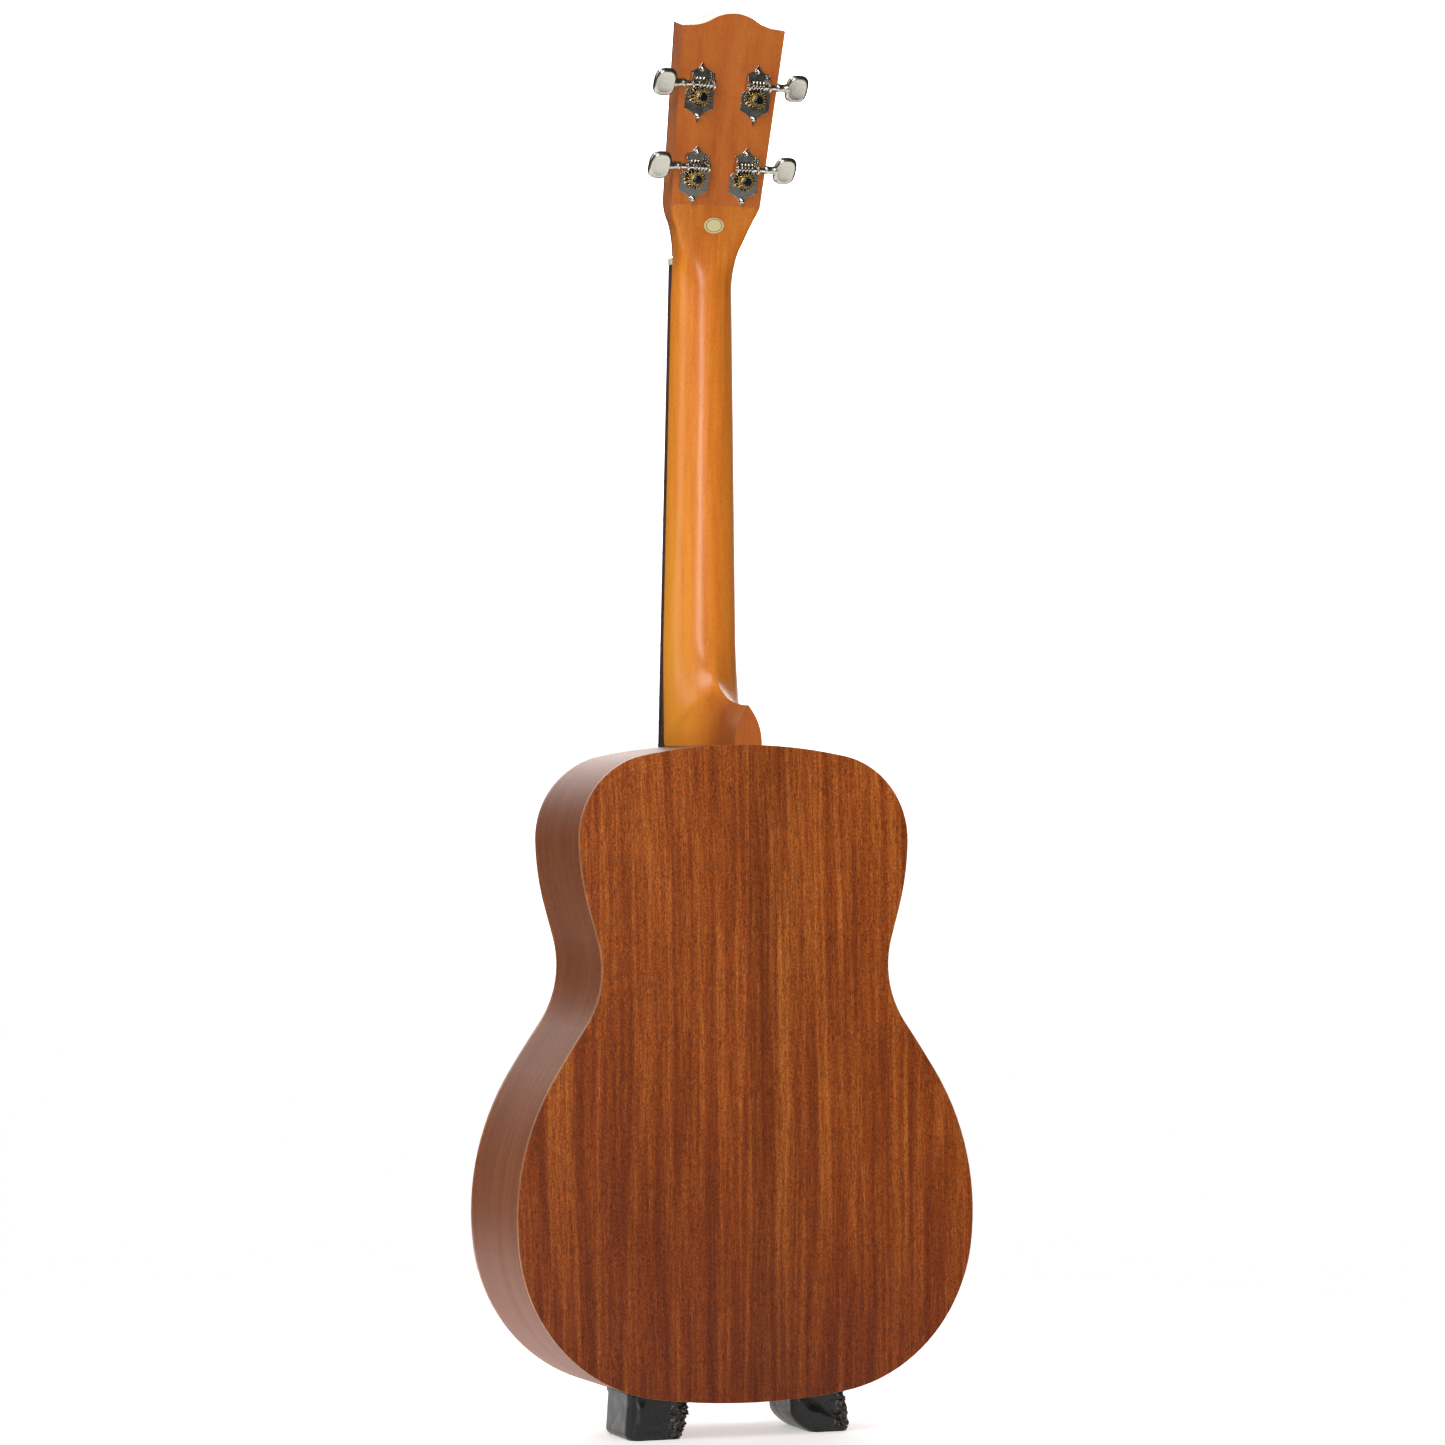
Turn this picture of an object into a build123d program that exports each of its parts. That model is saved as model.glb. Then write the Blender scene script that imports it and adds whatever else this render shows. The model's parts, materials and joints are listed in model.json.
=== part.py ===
"""A small four-string guitar leaning on a low steel stand whose two feet are wrapped blocks.

Millimetres.  The guitar is drawn standing upright on its tail: x runs across it, z up the neck,
and y from the back (negative) to the strings (positive), with y = 0 on the soundboard's face.
It is then leaned back a little and set on the stand, which is drawn on the floor, z = 0.
"""
from build123d import *
import math
import os

# ---------------------------------------------------------------- driving dimensions
LEAN = 0.84                 # lean of the soundboard from the vertical, degrees
TAIL_HEIGHT = 20.3          # the back edge of the tail above the floor
DEPTH_TAIL = 79.7           # body depth at the tail and at the neck
DEPTH_NECK = 69.7
WOOD = 2.8                  # thickness of the soundboard and of the back
RIM = 2.3                   # thickness of the bent sides
SCALE_LENGTH = 479.0        # close to 19 inches, with 14 frets clear of the body
FRETS = 18
CLEAR_FRETS = 14

# Half outline of the body from the tail to the neck: each arc's radius, and the heading where
# it ends, in degrees from straight sideways.  A negative radius is the hollow of the waist.
LOWER_ARCS = ((376.0, 8.3), (90.4, 81.7), (142.0, 122.2), (694.0, 124.8), (-54.6, 73.9))
WAIST_STRAIGHT = 16.7
UPPER_ARCS = ((146.0, 88.5), (46.1, 168.4))

NECK_ANGLE = 0.7            # the neck tips back from the soundboard's plane, degrees
HEAD_ANGLE = 15.33          # the headstock tips back from the neck
NUT_HALF = 17.3             # half width of the neck at the nut and at the body
HEEL_HALF = 21.9
NECK_DEPTH_NUT = 15.0       # neck thickness under the fingerboard
NECK_DEPTH_BODY = 17.5
BOARD = 5.0                 # fingerboard thickness at the body joint
BOARD_END = 300.0           # height of the fingerboard's lower end
HEAD_THICK = 14.0
VENEER = 1.5
HEAD_HALF_LOW = 26.2        # half width of the headstock above the flare, and at the corners
HEAD_HALF_TOP = 30.1
HEAD_FLARE = 34.0           # where the flare from the neck ends, up the headstock
HEAD_CORNER = 130.8
HEAD_PEAK = 138.8
SCARF_FRONT = 2.0           # the glue joint's place on the front and back of the headstock
SCARF_BACK = 33.0

SOUNDHOLE_R = 36.0
SOUNDHOLE_Z = 251.0
BRIDGE_HALF = 38.0
BRIDGE_TALL = 9.0
STRING_AT_NUT = 3.3         # height of the strings over the soundboard's plane
STRING_AT_SADDLE = 13.3
NUT_SPREAD = 24.6           # outer strings' spacing at the nut and at the saddle
SADDLE_SPREAD = 39.0
STRING_RADII = (0.45, 0.50, 0.40, 0.34)

TUNERS = {1: (-14.6, 47.6), 2: (-16.4, 93.0), 3: (16.4, 93.0), 4: (14.6, 47.6)}
TEETH = 15
GEAR_TIP_R = 5.3
GEAR_ROOT_R = 4.1
GEAR_LOW = 3.0              # the gear's two faces above the back of the headstock
GEAR_HIGH = 5.2
WORM_UP = 7.2               # worm axis above the gear's centre, and above the wood
WORM_OUT = 4.1
WORM_TIP_R = 2.65
WORM_ROOT_R = 1.65
SHAFT_R = 1.5
RIB_SUNK = 0.3              # how far the worm's rib starts inside the shaft
POST_R = 3.0
POST_OUT = 13.0             # length of a string post in front of the headstock

BLOCK_X = 48.0              # centre of each padded block, and its size
BLOCK_WIDE = 34.0
BLOCK_DEEP = 38.0
BLOCK_FRONT = 17.0          # the blocks start this far in from the back edge of the tail
BLOCK_ROUND = 5.0
WRAP = 1.2
ROD_R = 4.0
ROD_X = 47.0
ROD_TOP = 235.0             # height of the uprights
SLEEVE_R = 7.5
FOOT_Y = 175.0              # centre of the rear foot, from the back edge of the tail
FOOT_R = 12.0
GAP = 0.3                   # clearance between separate bodies


# ---------------------------------------------------------------- frames and small helpers
def polar_chain(inset):
    """Edges and end point of the half outline, moved inwards by an inset."""
    heading = 0.0
    x, z = 0.0, inset
    edges = []

    def turn(radius, end):
        nonlocal x, z, heading
        cx = x - radius * math.sin(math.radians(heading))
        cz = z + radius * math.cos(math.radians(heading))
        spots = []
        for angle in (heading, (heading + end) / 2, end):
            a = math.radians(angle)
            spots.append((cx + radius * math.sin(a), cz - radius * math.cos(a)))
        edges.append(ThreePointArc(*spots))
        x, z = spots[-1]
        heading = end

    for radius, end in LOWER_ARCS:
        turn(radius - inset, end)
    a = math.radians(heading)
    start = (x, z)
    x, z = x + WAIST_STRAIGHT * math.cos(a), z + WAIST_STRAIGHT * math.sin(a)
    edges.append(Line(start, (x, z)))
    for radius, end in UPPER_ARCS:
        turn(radius - inset, end)
    turn(x / math.sin(math.radians(heading)), 180.0)
    return edges, z


BODY_LENGTH = polar_chain(0.0)[1]
JOINT_Z = BODY_LENGTH
NUT_Z = JOINT_Z + SCALE_LENGTH * (1 - 2 ** (-CLEAR_FRETS / 12))
SADDLE_Z = NUT_Z - SCALE_LENGTH - 1.5
TILT = math.degrees(math.atan((DEPTH_TAIL - DEPTH_NECK) / BODY_LENGTH))


def body_face(inset):
    """The body's outline as a face, moved inwards by an inset."""
    edges, _ = polar_chain(inset)
    half = Wire([e.edge() if hasattr(e, "edge") else e for e in edges])
    other = half.mirror(Plane.YZ)
    return make_face([*half.edges(), *other.edges()])


def slab(face, y_front, y_back):
    """A flat outline drawn in x and z, as a solid between two y values."""
    return Pos(0, y_front, 0) * extrude(Plane.XZ * face, amount=y_front - y_back)


def side_prism(points, half):
    """A profile drawn in y and z, as a solid from -half to +half across x."""
    return extrude(Plane.YZ * make_face(Polyline(*points, close=True)), amount=half, both=True)


def back_y(z, inner=0.0):
    """Depth of the back's outer face at a height, or of a plane inside it."""
    return -(DEPTH_TAIL + (DEPTH_NECK - DEPTH_TAIL) * z / BODY_LENGTH) + inner


def wedge(inner_low, y_high, half=150.0):
    """The space from a plane inside the back to a plane parallel to the soundboard."""
    low, high = -20.0, BODY_LENGTH + 60.0
    points = [(back_y(low, inner_low), low), (y_high, low), (y_high, high), (back_y(high, inner_low), high)]
    return side_prism(points, half)


def back_layer(inner_low, inner_high, half=150.0):
    """The space between two planes parallel to the back."""
    low, high = -20.0, BODY_LENGTH + 60.0
    points = [(back_y(low, inner_low), low), (back_y(low, inner_high), low)]
    points += [(back_y(high, inner_high), high), (back_y(high, inner_low), high)]
    return side_prism(points, half)


def box(x0, x1, y0, y1, z0, z1):
    """A box from its six sides."""
    middle = Pos((x0 + x1) / 2, (y0 + y1) / 2, (z0 + z1) / 2)
    return middle * Box(abs(x1 - x0), abs(y1 - y0), abs(z1 - z0))


def neck_y(z):
    """The plane under the fingerboard, which tips back above the body."""
    return -(z - JOINT_Z) * math.tan(math.radians(NECK_ANGLE))


def neck_half(z):
    """Half width of the neck at a height."""
    return HEEL_HALF + (NUT_HALF - HEEL_HALF) * (z - JOINT_Z) / (NUT_Z - JOINT_Z)


HEAD_LEAN = math.radians(NECK_ANGLE + HEAD_ANGLE)
HEAD_Z0 = NUT_Z + 3.0
HEAD_Y0 = neck_y(HEAD_Z0)
# The headstock's own frame lies on its back: x across, y up it, z out of the wood.
HEAD = Plane(
    origin=(0, HEAD_Y0 - HEAD_THICK * math.cos(HEAD_LEAN), HEAD_Z0 - HEAD_THICK * math.sin(HEAD_LEAN)),
    x_dir=(1, 0, 0),
    z_dir=(0, -math.cos(HEAD_LEAN), -math.sin(HEAD_LEAN)),
).location

# Leaning the finished guitar back puts the back edge of its tail at BACK_Y, TAIL_HEIGHT.
BACK_Y = -(FOOT_Y + FOOT_R) / 2
PLACE = Pos(0, BACK_Y, TAIL_HEIGHT) * Rot(X=-LEAN) * Pos(0, DEPTH_TAIL, 0)


def as_group(solids):
    """Separate solids kept together in one node."""
    flat = []
    for item in solids:
        flat.extend(item.solids())
    return Compound(children=flat) if len(flat) > 1 else flat[0]


def tube(points, radius):
    """A thin round wire through straight runs, with a slightly larger ball at each corner."""
    whole = None
    for start, end in zip(points, points[1:]):
        a, b = Vector(*start), Vector(*end)
        run = Plane(origin=a, z_dir=b - a).location * Pos(0, 0, (b - a).length / 2)
        piece = run * Cylinder(radius, (b - a).length)
        whole = piece if whole is None else whole + piece
    for corner in points[1:-1]:
        whole = whole + Pos(*corner) * Sphere(radius * 1.04)
    return whole


# ---------------------------------------------------------------- body of the guitar
def make_body():
    """Plates, sides, blocks, linings and braces."""
    outer = body_face(0.0)
    inner = body_face(RIM)
    clear = body_face(RIM + 5.3)
    hollow = wedge(WOOD, -WOOD)
    parts = {}
    parts["back_plate"] = slab(outer, 0, -90) & back_layer(0, WOOD)
    ring = (slab(outer, 0, -90) - slab(inner, 1, -91)) & hollow
    parts["rim_left"] = ring & box(-150, 0, -90, 0, -10, BODY_LENGTH + 10)
    parts["rim_right"] = ring & box(0, 150, -90, 0, -10, BODY_LENGTH + 10)

    hole = Pos(0, 0, SOUNDHOLE_Z) * Rot(X=90) * Cylinder(SOUNDHOLE_R, 40)
    band = Pos(0, 0, SOUNDHOLE_Z) * Rot(X=90) * (Cylinder(44, 1.6) - Cylinder(39, 1.6))
    board = slab(outer, 0, -WOOD) - hole
    parts["rosette"] = band & box(-50, 50, -0.8, 0, 180, 320)
    parts["soundboard"] = board - parts["rosette"]

    cavity = slab(inner, 0, -90) & hollow
    parts["neck_block"] = cavity & box(-30, 30, -90, 0, BODY_LENGTH - 34, BODY_LENGTH + 5)
    parts["tail_block"] = cavity & box(-32, 32, -90, 0, -5, RIM + 18)
    strip = (slab(inner, 0, -90) - slab(body_face(RIM + 5.0), 1, -91))
    free = box(-130, 130, -90, 0, -5, BODY_LENGTH + 5)
    free = free - box(-30.2, 30.2, -90, 0, BODY_LENGTH - 40, BODY_LENGTH + 5)
    free = free - box(-32.2, 32.2, -90, 0, -5, 30)
    front_strip = strip & box(-150, 150, -WOOD - 12, -WOOD, -10, BODY_LENGTH + 10)
    back_strip = strip & back_layer(WOOD, WOOD + 12)
    parts["linings"] = as_group([front_strip & free, back_strip & free])

    back_bars = []
    for height in (62, 138, 222, 300):
        bar = slab(clear, 0, -90) & back_layer(WOOD, WOOD + 10)
        back_bars.append(bar & box(-140, 140, -90, 0, height - 4, height + 4))
    parts["back_braces"] = as_group(back_bars)
    parts["bridge_plate"] = box(-50, 50, -WOOD - 2, -WOOD, SADDLE_Z - 20, SADDLE_Z + 12)
    top_bars = []
    for height in (202, 300):
        bar = slab(clear, 0, -90) & box(-140, 140, -WOOD - 10, -WOOD, height - 4, height + 4)
        top_bars.append(bar)
    for spread in (-12, 0, 12):
        fan = Pos(spread * 1.2, 0, 108) * Rot(Y=spread) * box(-3, 3, -WOOD - 6, -WOOD, -66, 78)
        top_bars.append(fan - parts["bridge_plate"])
    parts["top_braces"] = as_group(top_bars)
    return parts


# ---------------------------------------------------------------- neck and headstock
def neck_section(z, depth):
    """The neck's D-shaped section at a height, below the plane under the fingerboard."""
    half = neck_half(z)
    top = neck_y(z)
    flat = Line((-half, top), (half, top))
    round_side = ThreePointArc((half, top), (0, top - depth), (-half, top))
    return Pos(0, 0, z) * make_face([flat, round_side])


def heel_section(y, half, tall):
    """A pointed arch standing on the body's end, at one depth."""
    low = JOINT_Z - 6.0
    right = ThreePointArc((half, low), (half * 0.86, JOINT_Z + tall * 0.42), (0, JOINT_Z + tall))
    left = ThreePointArc((0, JOINT_Z + tall), (-half * 0.86, JOINT_Z + tall * 0.42), (-half, low))
    base = Line((-half, low), (half, low))
    return Pos(0, y, 0) * (Plane.XZ * make_face([base, right, left]))


def head_face():
    """The headstock's outline in its own frame, flared from the neck and crowned at the top."""
    shoulder = HEAD_CORNER + 0.5
    rise = HEAD_PEAK - shoulder
    hump = 26.0
    knee = (hump / 2, shoulder + rise / 2)
    bend = 2 * math.atan(rise / hump)
    radius = hump / (2 * math.sin(bend))
    shift = radius * math.sin(bend / 2)
    drop = radius * (1 - math.cos(bend / 2))
    half = [
        Line((NUT_HALF, -6), (NUT_HALF, 2)),
        ThreePointArc((NUT_HALF, 2), (NUT_HALF + 1.9, 12), (21.8, 20)),
        ThreePointArc((21.8, 20), (24.8, 26.5), (HEAD_HALF_LOW, HEAD_FLARE)),
        Line((HEAD_HALF_LOW, HEAD_FLARE), (HEAD_HALF_TOP, HEAD_CORNER)),
        Line((HEAD_HALF_TOP, HEAD_CORNER), (hump, shoulder)),
        ThreePointArc((hump, shoulder), (hump - shift, shoulder + drop), knee),
        ThreePointArc(knee, (shift, HEAD_PEAK - drop), (0, HEAD_PEAK)),
    ]
    wire = Wire([e.edge() for e in half])
    base = Line((-NUT_HALF, -6), (NUT_HALF, -6))
    return make_face([*wire.edges(), *wire.mirror(Plane.YZ).edges(), base.edge()])


def scarf_side():
    """The headstock's side of the glue joint, in the headstock's frame."""
    slope = (SCARF_BACK - SCARF_FRONT) / HEAD_THICK
    corners = [(SCARF_BACK + 10 * slope, 10), (220, 10), (220, -30), (SCARF_BACK - 30 * slope, -30)]
    return extrude(Plane.YZ * make_face(Polyline(*corners, close=True)), amount=60, both=True)


def make_neck():
    """Neck with its heel, headstock, veneer, fingerboard, frets, dots and nut."""
    parts = {}
    low = JOINT_Z - 6.0
    shaft = loft([neck_section(low, NECK_DEPTH_BODY), neck_section(HEAD_Z0, NECK_DEPTH_NUT)], ruled=True)
    steps = ((-7, 20.5, 62), (-17, 18.5, 42), (-28, 13.5, 28), (-42, 9.8, 22), (-74, 7.9, 20.5))
    heel = loft([heel_section(*step) for step in steps])
    heel = heel & wedge(0, 0)
    face = head_face()
    plate = Pos(0, 0, -HEAD_THICK + VENEER) * extrude(face, amount=HEAD_THICK - VENEER)
    for x, up in TUNERS.values():
        plate = plate - Pos(x, up, 0) * Cylinder(3.4, 60)
        plate = plate - Pos(x, up, -HEAD_THICK) * Cylinder(4.2, 16)
    upper = plate & scarf_side()
    lower = HEAD * (plate - scarf_side())
    body = slab(body_face(0.0), 5, -95)
    above_nut = box(-60, 60, neck_y(NUT_Z), 30, NUT_Z - 1, NUT_Z + 60)
    neck = (shaft + heel + lower) - body - above_nut
    parts["neck"] = neck
    parts["headstock"] = HEAD * upper - shaft
    skin = Pos(0, 0, -HEAD_THICK) * extrude(face, amount=VENEER)
    skin = skin & box(-60, 60, 1.6, 160, -40, 10)
    for x, up in TUNERS.values():
        skin = skin - Pos(x, up, 0) * Cylinder(4.2, 60)
    nut_room = box(-60, 60, -20, 30, NUT_Z - 2, NUT_Z + 4.05)
    parts["headstock_veneer"] = HEAD * skin - nut_room - parts["neck"]

    end_y = neck_y(NUT_Z)
    profile = [(0, BOARD_END), (0, JOINT_Z), (end_y, NUT_Z), (end_y + BOARD, NUT_Z)]
    profile += [(BOARD + (JOINT_Z - BOARD_END) * math.tan(math.radians(NECK_ANGLE)), BOARD_END)]
    plan = [(neck_half(BOARD_END), BOARD_END), (neck_half(NUT_Z), NUT_Z)]
    plan += [(-neck_half(NUT_Z), NUT_Z), (-neck_half(BOARD_END), BOARD_END)]
    board = side_prism(profile, 30) & slab(make_face(Polyline(*plan, close=True)), 20, -20)
    # The fingerboard's top has its own frame: origin at the body joint, z along the neck.
    top = Pos(0, BOARD, JOINT_Z) * Rot(X=NECK_ANGLE)
    frets = []
    for n in range(1, FRETS + 1):
        z = NUT_Z - SCALE_LENGTH * (1 - 2 ** (-n / 12)) - JOINT_Z
        half = neck_half(z + JOINT_Z) - 0.4
        frets.append(top * box(-half, half, 0, 1.0, z - 1.0, z + 1.0))
    parts["frets"] = as_group(frets)
    dots = []
    for n, xs in ((5, (0,)), (7, (0,)), (10, (0,)), (12, (-7, 7)), (15, (0,))):
        near = SCALE_LENGTH * (2 ** (-n / 12) + 2 ** (-(n - 1) / 12)) / 2
        z = NUT_Z - SCALE_LENGTH + near - JOINT_Z
        for x in xs:
            dots.append(top * Pos(x, -0.6, z) * Rot(X=90) * Cylinder(2.6, 1.2))
    parts["position_dots"] = as_group(dots)
    parts["fingerboard"] = board - parts["position_dots"]
    parts["neck"] = parts["neck"] - board
    parts["nut"] = box(-NUT_HALF, NUT_HALF, end_y, STRING_AT_NUT - 0.55, NUT_Z, NUT_Z + 4.0)
    badge = extrude(Ellipse(5.7, 4.3), amount=0.5)
    parts["label_badge"] = HEAD * (Pos(0, 22, 0) * badge)
    return parts


# ---------------------------------------------------------------- bridge and strings
def string_x(n, spread):
    """Sideways place of string n, 0 to 3, at the nut or the saddle."""
    return spread * (n / 3 - 0.5)


def head_point(x, up, out):
    """A point given in the headstock's frame, in the guitar's frame."""
    spot = (HEAD * Pos(x, up, out)).position
    return (spot.X, spot.Y, spot.Z)


def make_bridge():
    """Tie bridge, saddle and the four strings."""
    parts = {}
    tall, low = BRIDGE_TALL, 3.0
    outline = [(-BRIDGE_HALF, 0), (-BRIDGE_HALF, low), (-34, 4.2), (-30, tall), (30, tall), (34, 4.2)]
    outline += [(BRIDGE_HALF, low), (BRIDGE_HALF, 0)]
    z0 = SADDLE_Z - 12
    solid = Pos(0, 0, z0) * extrude(make_face(Polyline(*outline, close=True)), amount=22)
    solid = solid - box(-26, 26, 4, 20, SADDLE_Z - 1.5, SADDLE_Z + 1.5)
    solid = solid - box(-28, 28, 4, 20, z0 + 5.5, z0 + 9)
    for n in range(4):
        solid = solid - Pos(string_x(n, SADDLE_SPREAD), 5.6, z0) * Cylinder(0.9, 14)
    parts["bridge"] = solid
    parts["saddle"] = box(-25.9, 25.9, 4, STRING_AT_SADDLE - 0.5, SADDLE_Z - 1.5, SADDLE_Z + 1.5)
    strings = []
    for n, (x, up) in enumerate(TUNERS.values()):
        at_saddle = string_x(n, SADDLE_SPREAD)
        at_nut = string_x(n, NUT_SPREAD)
        beside = math.copysign(abs(x) - 4.7, x)
        points = [(at_saddle, 5.6, z0 - 1.5), (at_saddle, 5.6, z0 + 6)]
        points += [(at_saddle, STRING_AT_SADDLE, SADDLE_Z)]
        points += [(at_nut, STRING_AT_NUT, NUT_Z + 2.0), head_point(beside, up, -HEAD_THICK - 6.5)]
        strings.append(tube(points, STRING_RADII[n]))
    parts["strings"] = as_group(strings)
    return parts


# ---------------------------------------------------------------- machine heads
def tuner_plate():
    """Star-shaped plate with two turned-up ears that carry the worm, post hole at the origin."""
    half = [
        ThreePointArc((0, 18.8), (2.6, 15.2), (6.6, 13.4)),
        Line((6.6, 13.4), (6.6, 4.2)),
        Line((6.6, 4.2), (8.4, 2.4)),
        Line((8.4, 2.4), (8.4, -7.0)),
        ThreePointArc((8.4, -7.0), (3.2, -9.8), (0, -15.3)),
    ]
    wire = Wire([e.edge() for e in half])
    flat = extrude(make_face([*wire.edges(), *wire.mirror(Plane.YZ).edges()]), amount=1.0)
    flat = flat - Cylinder(3.1, 10)
    for y in (15.0, -11.0):
        flat = flat - Pos(0, y, 0) * Cylinder(0.9, 10)
    for x in (-6.6, 5.6):
        ear = box(x, x + 1.0, WORM_UP - 3.0, WORM_UP + 5.8, 1.0, WORM_OUT)
        ear = ear + Pos(x + 0.5, WORM_UP, WORM_OUT) * Rot(Y=90) * Cylinder(3.0, 1.0)
        flat = flat + (ear - Pos(x, WORM_UP, WORM_OUT) * Rot(Y=90) * Cylinder(SHAFT_R + 0.06, 6))
    return flat


def tuner_worm():
    """Shaft with the worm between the ears, and a collar inside the button."""
    axis = Pos(0, WORM_UP, WORM_OUT) * Rot(Y=90)
    shaft = Pos(-8.9, WORM_UP, WORM_OUT) * Rot(Y=90) * Cylinder(SHAFT_R, 32.2)
    core = axis * Cylinder(WORM_ROOT_R, 10.6)
    pitch = 2 * math.pi * (GEAR_TIP_R + GEAR_ROOT_R) / 2 / TEETH
    turns = 4
    path = Helix(pitch=pitch, height=pitch * turns, radius=SHAFT_R - RIB_SUNK)
    start = Plane(origin=path @ 0, z_dir=path % 0, x_dir=(1, 0, 0))
    rise = WORM_TIP_R - SHAFT_R + RIB_SUNK
    rib = [(0, -0.52), (rise, -0.2), (rise, 0.2), (0, 0.52)]
    section = start * make_face(Polyline(*rib, close=True))
    thread = sweep(section, path=path, is_frenet=True)
    thread = Pos(0, 0, -pitch * (turns / 2 - 0.25)) * thread
    return shaft + core + axis * thread


def tuner_button():
    """Flat oval finger button with bevelled rims and a collar, pressed on the shaft."""
    oval = extrude(Ellipse(6.6, 8.1), amount=2.2, both=True)
    oval = chamfer(oval.edges().filter_by(GeomType.ELLIPSE), 1.1)
    button = Pos(-22.2, WORM_UP, WORM_OUT) * oval
    button = button + Pos(-16.4, WORM_UP, WORM_OUT) * Rot(Y=90) * Cylinder(2.5, 3.6)
    return button - Pos(-19.5, WORM_UP, WORM_OUT) * Rot(Y=90) * Cylinder(SHAFT_R, 11)


def tuner_gear():
    """Brass wheel with straight teeth, centred on the post."""
    points = []
    step = 2 * math.pi / TEETH
    for n in range(TEETH):
        middle = math.pi / 2 + (n + 0.5) * step
        tooth = ((GEAR_ROOT_R, -0.30), (GEAR_TIP_R, -0.13), (GEAR_TIP_R, 0.13), (GEAR_ROOT_R, 0.30))
        for radius, part in tooth:
            angle = middle + part * step
            points.append((radius * math.cos(angle), radius * math.sin(angle)))
    wheel = extrude(make_face(Polyline(*points, close=True)), amount=GEAR_HIGH - GEAR_LOW)
    return Pos(0, 0, GEAR_LOW) * wheel - Cylinder(2.0, 20)


def tuner_post():
    """String post with a neck for the gear, and the string's turns wound on it."""
    front = -HEAD_THICK - POST_OUT
    long = GEAR_LOW - front
    post = Pos(0, 0, front + long / 2) * Cylinder(POST_R, long)
    post = post + Pos(0, 0, (GEAR_LOW + GEAR_HIGH) / 2) * Cylinder(2.0, GEAR_HIGH - GEAR_LOW)
    post = post - Pos(0, 0, GEAR_HIGH) * Cylinder(0.9, 8)
    turns = Pos(0, 0, -HEAD_THICK - 6.5) * (Cylinder(POST_R + 0.9, 3.2) - Cylinder(POST_R, 3.2))
    return as_group([post, turns])


def tuner_screw():
    """Domed screw that holds the gear on its post."""
    dome = Pos(0, 0, GEAR_HIGH) * (Sphere(2.9) & Pos(0, 0, 3) * Box(8, 8, 6))
    dome = dome & Pos(0, 0, GEAR_HIGH + 1.0) * Cylinder(2.7, 2.0)
    return dome + Pos(0, 0, GEAR_HIGH - 2.0) * Cylinder(0.9, 4.0)


def make_tuners():
    """Four machine heads, their wood screws and the bushings in the headstock's face."""
    pieces = {
        "tuner_plate": tuner_plate(),
        "worm_shaft": tuner_worm(),
        "tuning_button": tuner_button(),
        "drive_gear": tuner_gear(),
        "string_post": tuner_post(),
        "gear_screw": tuner_screw(),
    }
    parts = {}
    screws = []
    bushings = []
    for n, (x, up) in TUNERS.items():
        spot = HEAD * Pos(x, up, 0)
        for name, piece in pieces.items():
            side = piece if x < 0 else as_group([piece.mirror(Plane.YZ)])
            parts[f"{name}_{n}"] = spot * side
        for y in (15.0, -11.0):
            head = Pos(0, y, 1.0) * (Sphere(1.7) & Pos(0, 0, 1) * Box(4, 4, 2))
            screws.append(spot * (head + Pos(0, y, -3.0) * Cylinder(0.9, 8.0)))
        flange = Pos(0, 0, -HEAD_THICK - 0.6) * Cylinder(5.4, 1.2)
        flange = flange + Pos(0, 0, -HEAD_THICK + 4.0) * Cylinder(4.2, 8.0)
        bushings.append(spot * (flange - Cylinder(POST_R + 0.06, 60)))
    parts["plate_screws"] = as_group(screws)
    parts["post_bushings"] = as_group(bushings)
    for y in (15.0, -11.0):
        for x, up in TUNERS.values():
            hole = HEAD * (Pos(x, up + y, -3.5) * Cylinder(0.9, 7.0))
            parts.setdefault("screw_holes", []).append(hole)
    return parts


# ---------------------------------------------------------------- stand
def stand_block(side):
    """A padded block foot: a core, and the vinyl wrap round it."""
    x = BLOCK_X * side
    y = BACK_Y + BLOCK_FRONT + BLOCK_DEEP / 2
    body = slab(body_face(-GAP), 5, -95)
    body_under = slab(body_face(-GAP - WRAP), 5, -95)
    tall = TAIL_HEIGHT + 12.0
    plan = RectangleRounded(BLOCK_WIDE, BLOCK_DEEP, BLOCK_ROUND)
    small = RectangleRounded(BLOCK_WIDE - 2 * WRAP, BLOCK_DEEP - 2 * WRAP, BLOCK_ROUND - WRAP)
    outer = Pos(x, y, 0) * extrude(plan, amount=tall) - PLACE * body
    outer = outer & box(-200, 200, -400, 400, 0, TAIL_HEIGHT + 6.5)
    core = Pos(x, y, WRAP) * extrude(small, amount=tall - WRAP) - PLACE * body_under
    core = core & box(-200, 200, -400, 400, 0, TAIL_HEIGHT + 6.5 - WRAP)
    return core, outer - core


def stand_rod(side):
    """One bent rod: an arm that carries the block, then an upright that leans like the guitar."""
    x = ROD_X * side
    arm_z = 15.3
    slope = math.tan(math.radians(LEAN))
    foot_y = BACK_Y + DEPTH_TAIL + GAP + SLEEVE_R + TAIL_HEIGHT * slope
    top_y = foot_y + (ROD_TOP - arm_z) * slope
    path = FilletPolyline(
        (x, BACK_Y + BLOCK_FRONT + 10, arm_z), (x, foot_y, arm_z), (x, top_y, ROD_TOP), radius=12
    )
    return sweep(Plane(origin=path @ 0, z_dir=path % 0) * Circle(ROD_R), path=path)


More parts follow.
